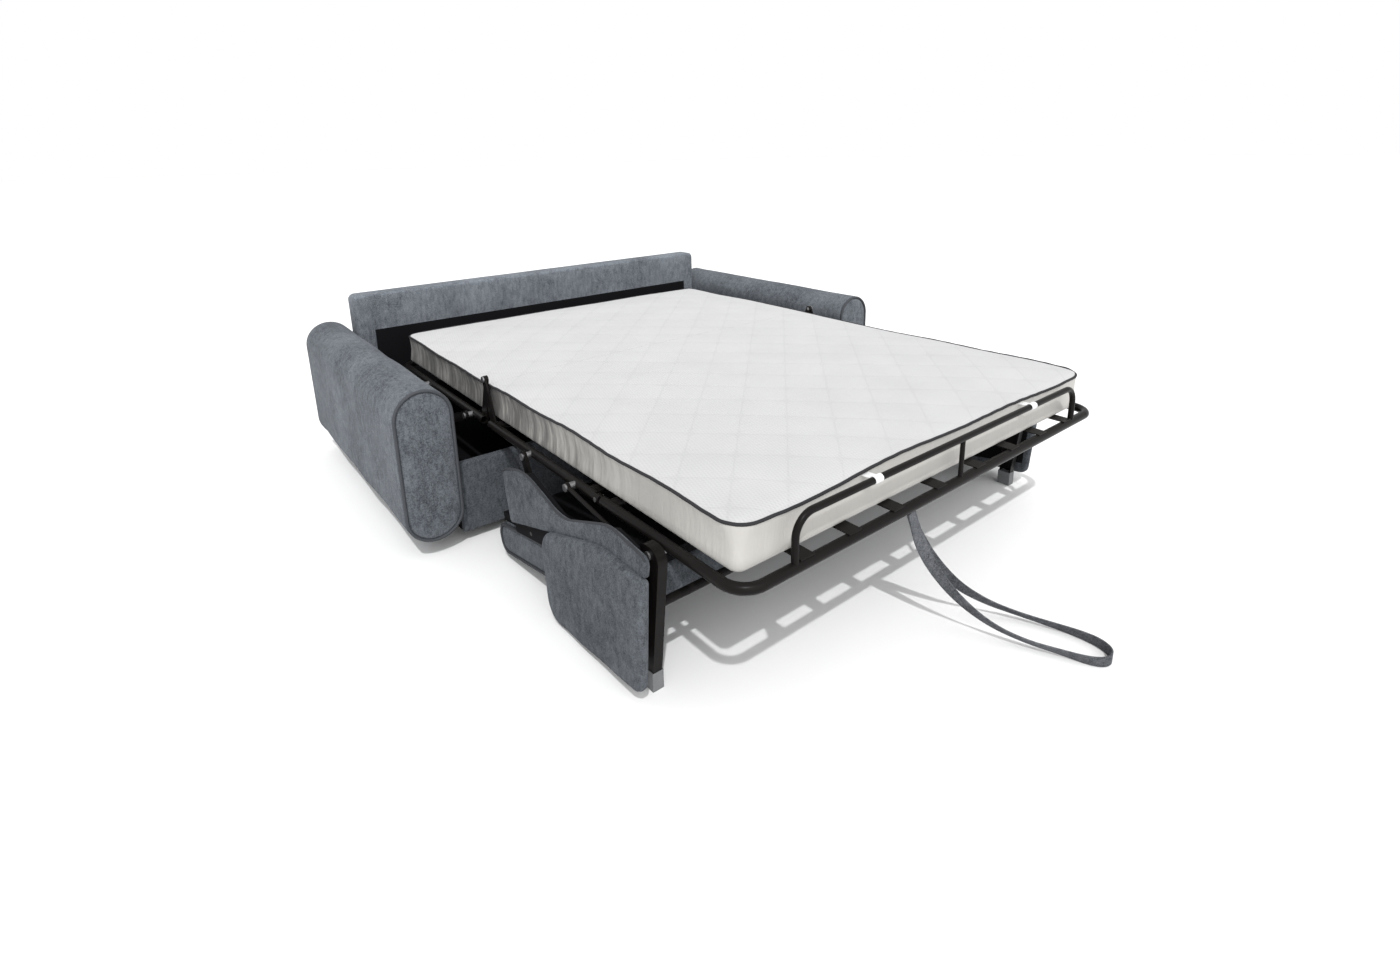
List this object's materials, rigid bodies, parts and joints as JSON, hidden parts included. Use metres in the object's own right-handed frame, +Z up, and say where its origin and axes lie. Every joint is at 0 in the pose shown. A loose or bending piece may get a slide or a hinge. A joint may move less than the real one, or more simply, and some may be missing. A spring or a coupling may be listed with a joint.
{
  "type": "sofa bed",
  "caption": "Opened fold-out sofa bed: padded arms and back, sprung steel bed frame with mattress, hoop, folding legs, hanging seat pack and pull strap.",
  "frame": {"origin": "on the floor, midway across and midway along the opened bed without its strap", "axes": "+Z up, +Y from the foot of the bed to the back, +X to the right seen from the foot"},
  "size_m": [2.01, 2.5472, 0.612],
  "materials": {
    "upholstery": "chenille weave",
    "black_lining": "matt non-woven",
    "mattress_cover": "quilted knit",
    "black_glide": "matt",
    "grey_foot": "matt",
    "pin_steel": "zinc",
    "frame_paint": "satin",
    "white_elastic": "ribbed",
    "strap_fabric": "chenille weave"
  },
  "bodies": {
    "base": {"left_arm": "upholstery", "right_arm": "upholstery", "arm_feet": "black_glide", "front_rail": "upholstery", "base_side_boards": "black_lining", "floor_board": "black_lining", "base_feet": "black_glide", "back_panel": "upholstery", "back_lining": "black_lining", "mechanism_plates": "frame_paint", "lift_pivot_pins": "pin_steel"},
    "front_lift": {"front_lift_links": "frame_paint"},
    "rear_lift": {"rear_lift_links": "frame_paint"},
    "head_section": {"head_frame": "frame_paint", "head_link_pins": "pin_steel", "head_strips": "frame_paint", "head_fold_ears": "frame_paint", "fold_pins": "pin_steel", "head_mattress": "mattress_cover"},
    "seat_section": {"seat_frame": "frame_paint", "pack_link_pins": "pin_steel", "leg_rod_pins": "pin_steel", "seat_strips": "frame_paint", "seat_fold_ears": "frame_paint", "foot_fold_forks": "frame_paint", "foot_fold_pins": "pin_steel", "seat_mattress": "mattress_cover"},
    "foot_section": {"foot_frame": "frame_paint", "leg_bolts": "pin_steel", "foot_strips": "frame_paint", "foot_fold_lugs": "frame_paint", "hoop": "frame_paint", "hoop_post": "frame_paint", "elastic_loops": "white_elastic", "foot_mattress": "mattress_cover", "pull_strap": "strap_fabric"},
    "legs": {"left_leg": "frame_paint", "right_leg": "frame_paint", "leg_feet": "grey_foot", "leg_cross_bar": "frame_paint"},
    "leg_rods": {"leg_rods": "frame_paint"},
    "pack_links": {"pack_links": "frame_paint"},
    "seat_pack": {"deck_board": "black_lining", "seat_cushion": "upholstery", "pack_side_boards": "black_lining", "pack_pins": "pin_steel", "side_valances": "upholstery", "wing_boards": "black_lining", "right_wing": "upholstery", "left_wing": "upholstery"}
  },
  "joints": [
    {"name": "front_lift_turn", "type": "hinge", "parent": "base", "child": "front_lift", "pos_m": [0, 0.42906, 0.24752], "axis": [1, 0, 0], "range_deg": [0, 61]},
    {"name": "rear_lift_turn", "type": "hinge", "parent": "base", "child": "rear_lift", "pos_m": [0, 0.82906, 0.24752], "axis": [1, 0, 0], "range_deg": [0, 61]},
    {"name": "head_level", "type": "hinge", "parent": "front_lift", "child": "head_section", "pos_m": [0, 0.16125, 0.345], "axis": [1, 0, 0], "range_deg": [-61, 0]},
    {"name": "bed_fold", "type": "hinge", "parent": "head_section", "child": "seat_section", "pos_m": [0, 0.06125, 0.4803], "axis": [1, 0, 0], "range_deg": [-180, 0]},
    {"name": "foot_fold", "type": "hinge", "parent": "seat_section", "child": "foot_section", "pos_m": [0, -0.58875, 0.345], "axis": [1, 0, 0], "range_deg": [0, 80]},
    {"name": "leg_fold", "type": "hinge", "parent": "foot_section", "child": "legs", "pos_m": [0, -0.85075, 0.333], "axis": [1, 0, 0], "range_deg": [-80, 0]},
    {"name": "leg_rod_turn", "type": "hinge", "parent": "seat_section", "child": "leg_rods", "pos_m": [0, -0.48875, 0.345], "axis": [1, 0, 0], "range_deg": [0, 64.4]},
    {"name": "pack_swing", "type": "hinge", "parent": "seat_section", "child": "pack_links", "pos_m": [0, -0.24875, 0.345], "axis": [1, 0, 0], "range_deg": [0, 102.7]},
    {"name": "pack_level", "type": "hinge", "parent": "pack_links", "child": "seat_pack", "pos_m": [0, -0.33893, 0.16648], "axis": [1, 0, 0], "range_deg": [-92, 0]}
  ],
  "couplings": [
    {"joint": "front_lift_turn", "follows": "bed_fold", "ratio": -0.33888},
    {"joint": "rear_lift_turn", "follows": "bed_fold", "ratio": -0.33888},
    {"joint": "head_level", "follows": "bed_fold", "ratio": 0.33888},
    {"joint": "foot_fold", "follows": "bed_fold", "ratio": -0.44444},
    {"joint": "leg_fold", "follows": "bed_fold", "ratio": 0.44444},
    {"joint": "leg_rod_turn", "follows": "bed_fold", "ratio": -0.3577},
    {"joint": "pack_swing", "follows": "bed_fold", "ratio": -0.57055},
    {"joint": "pack_level", "follows": "bed_fold", "ratio": 0.5111}
  ]
}
